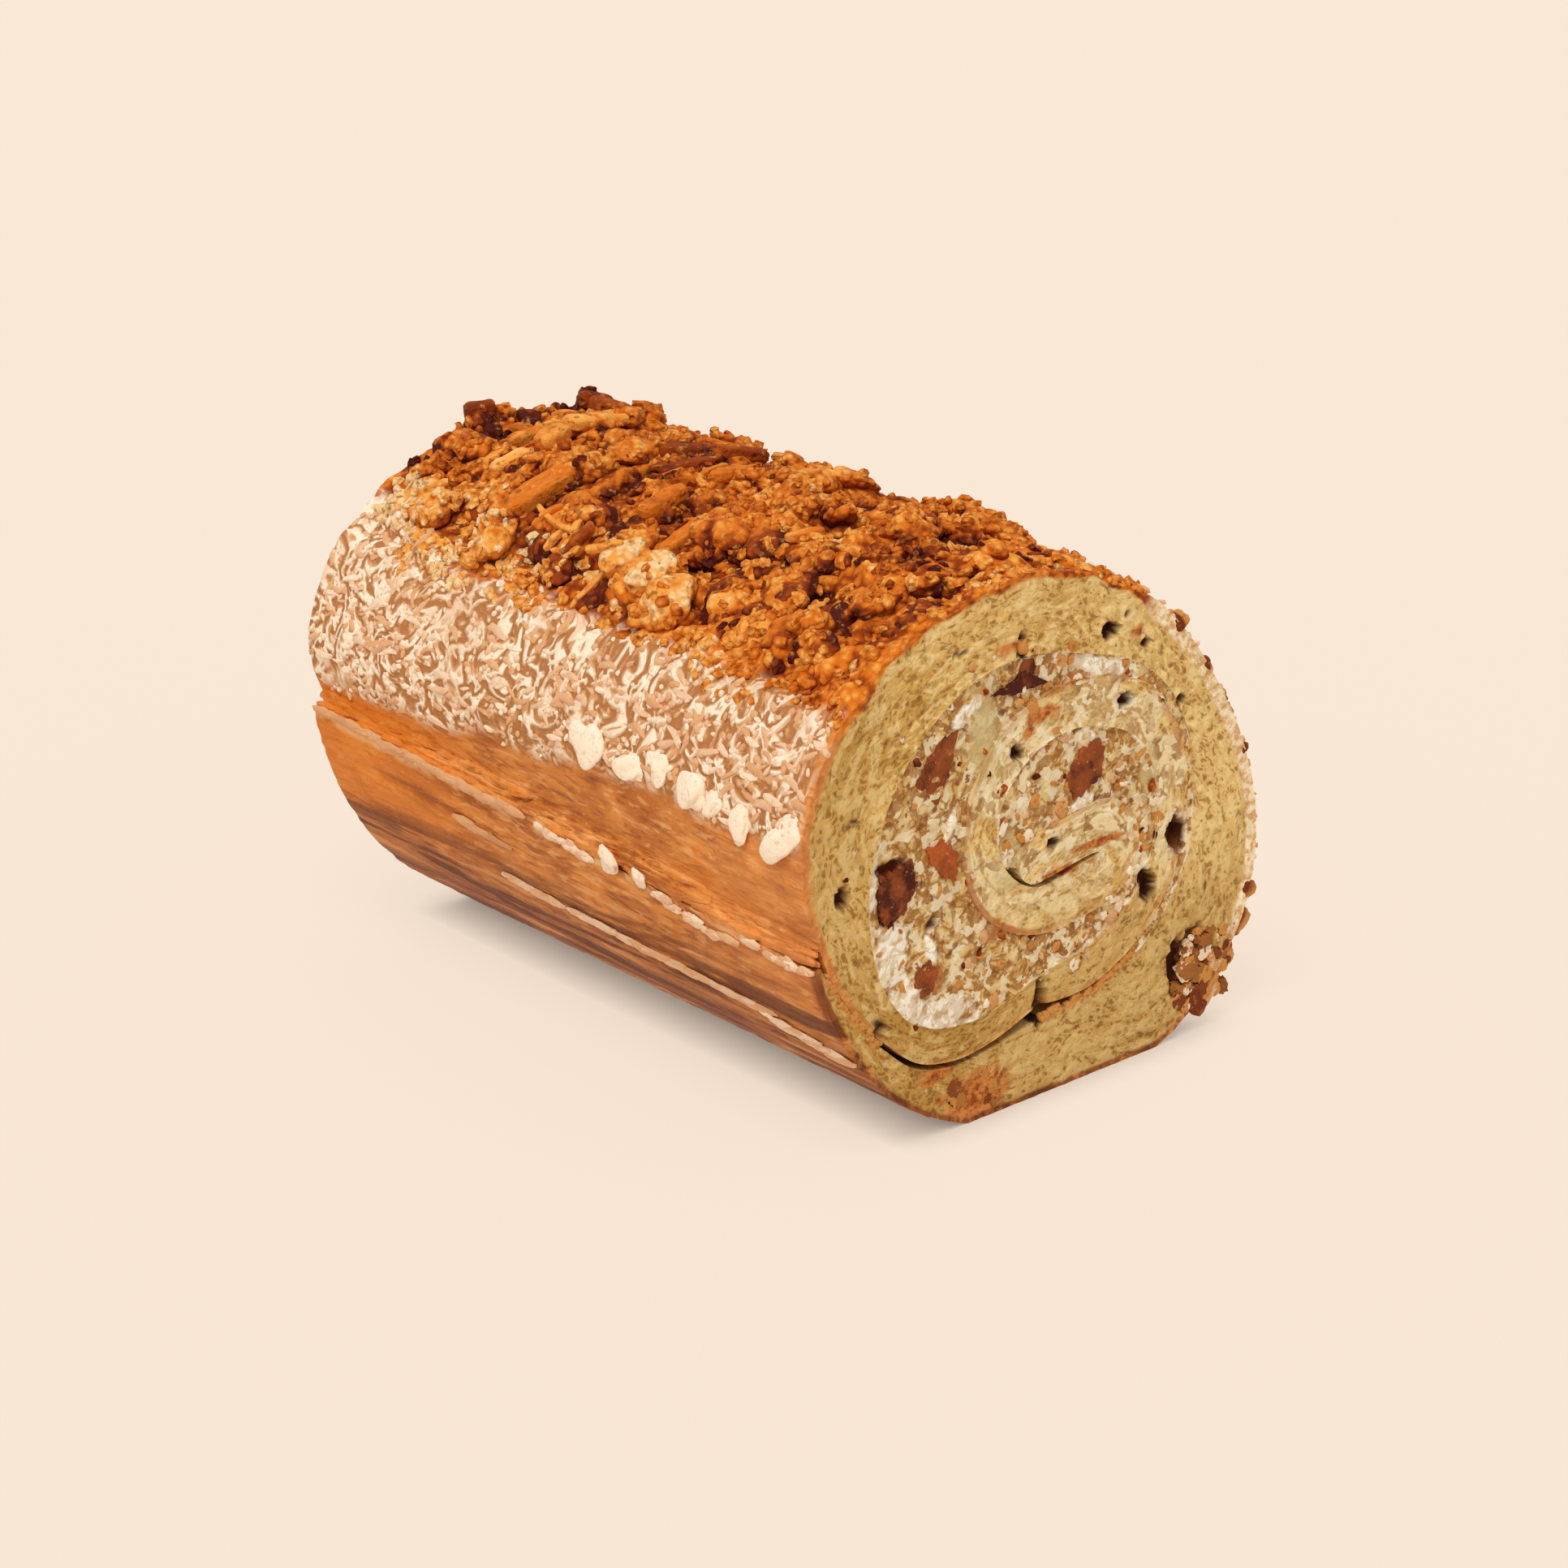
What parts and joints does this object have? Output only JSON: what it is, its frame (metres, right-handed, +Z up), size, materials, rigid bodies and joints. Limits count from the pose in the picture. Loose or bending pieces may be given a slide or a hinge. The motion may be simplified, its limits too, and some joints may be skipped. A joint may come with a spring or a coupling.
{
  "type": "swiss roll",
  "caption": "Rolled sponge cake lying on its flat base, cream and nut filling in a spiral at both cut ends, crumb topping along the top.",
  "frame": {"origin": "on the flat base, under the middle of the roll's length", "axes": "+Y along the roll, from the near cut end to the far one; +Z up; +X to the right as seen from the near cut end"},
  "size_m": [0.0913, 0.1164, 0.0828],
  "materials": {
    "sponge": "golden open-pored sponge crumb inside, thin orange-brown baked skin outside, brown nut crumbs and white icing fused on top",
    "cream": "soft pale cream, matt with a slight moist sheen at the cut",
    "nut": "roasted brown nut, cut flush, slightly oily"
  },
  "bodies": {
    "root": {"sponge_sheet": "sponge", "cream_filling": "cream", "nut_near_1": "nut", "nut_near_2": "nut", "nut_near_3": "nut", "nut_near_4": "nut", "nut_near_5": "nut", "nut_near_6": "nut", "nut_far_1": "nut", "nut_far_2": "nut", "nut_far_3": "nut", "nut_far_4": "nut"}
  },
  "joints": []
}
